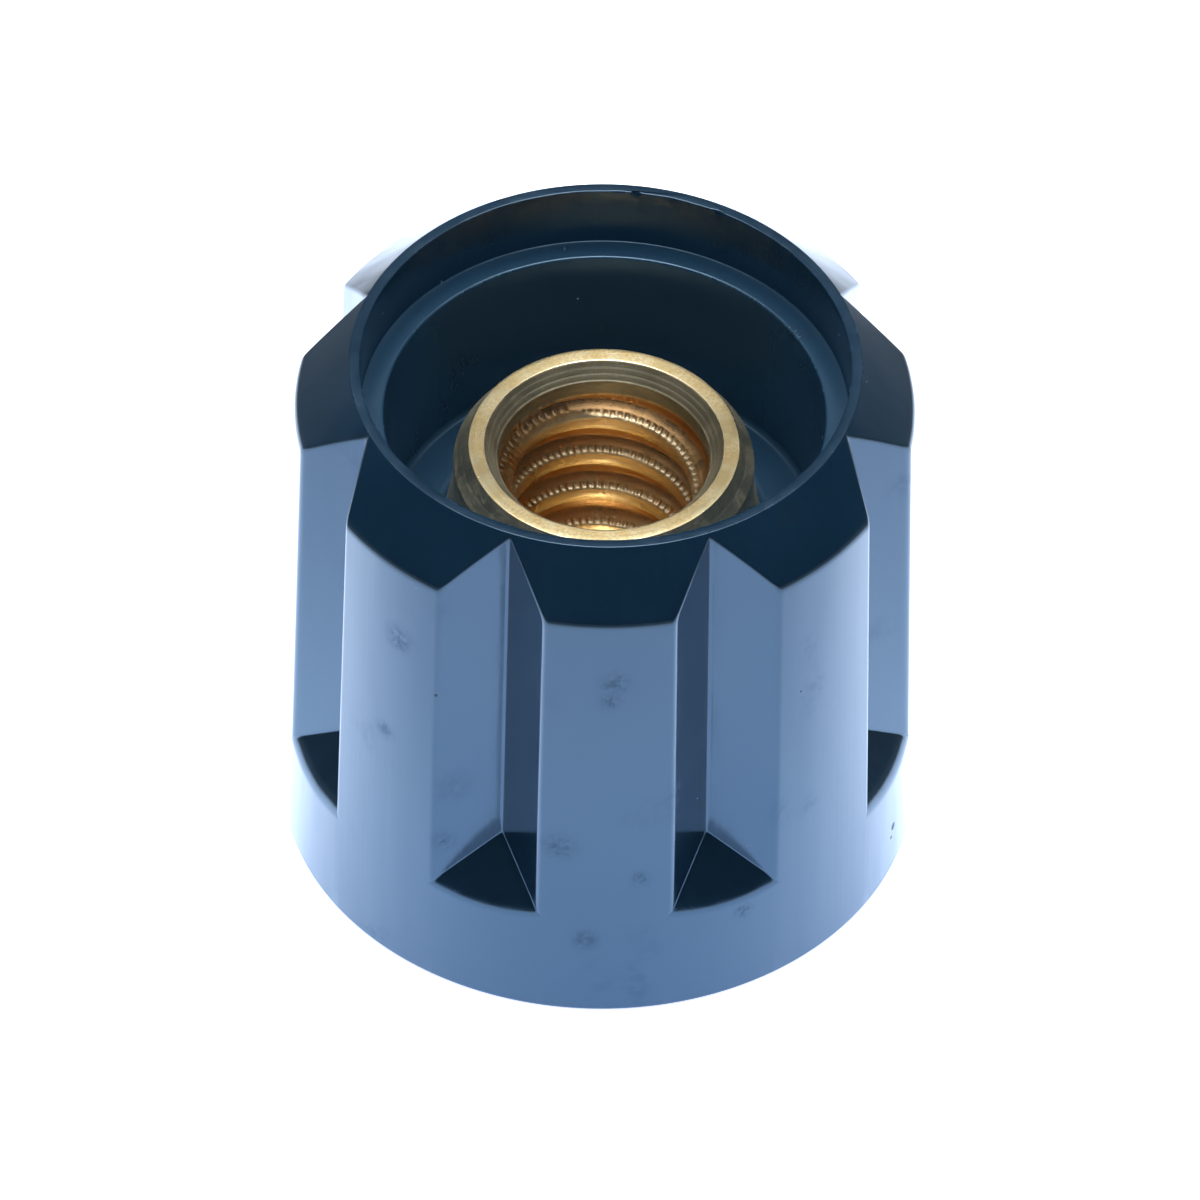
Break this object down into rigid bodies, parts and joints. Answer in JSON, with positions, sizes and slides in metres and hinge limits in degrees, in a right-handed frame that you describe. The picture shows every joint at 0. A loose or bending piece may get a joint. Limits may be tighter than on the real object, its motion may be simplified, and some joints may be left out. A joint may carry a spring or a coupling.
{
  "type": "steam knob",
  "caption": "Moulded fluted hand knob for a steam valve, with a threaded brass insert standing in its open cup.",
  "frame": {"origin": "centre of the closed front face, on the knob's axis", "axes": "+Z along the knob's axis, from the closed face on the table to the open mouth of the cup; +X through the middle of one lobe"},
  "size_m": [0.05, 0.05, 0.0467],
  "materials": {
    "navy_moulding": "semi-gloss, moulded",
    "brass": "turned, worn bright on the top face"
  },
  "bodies": {
    "root": {"knob_body": "navy_moulding", "threaded_insert": "brass"}
  },
  "joints": []
}
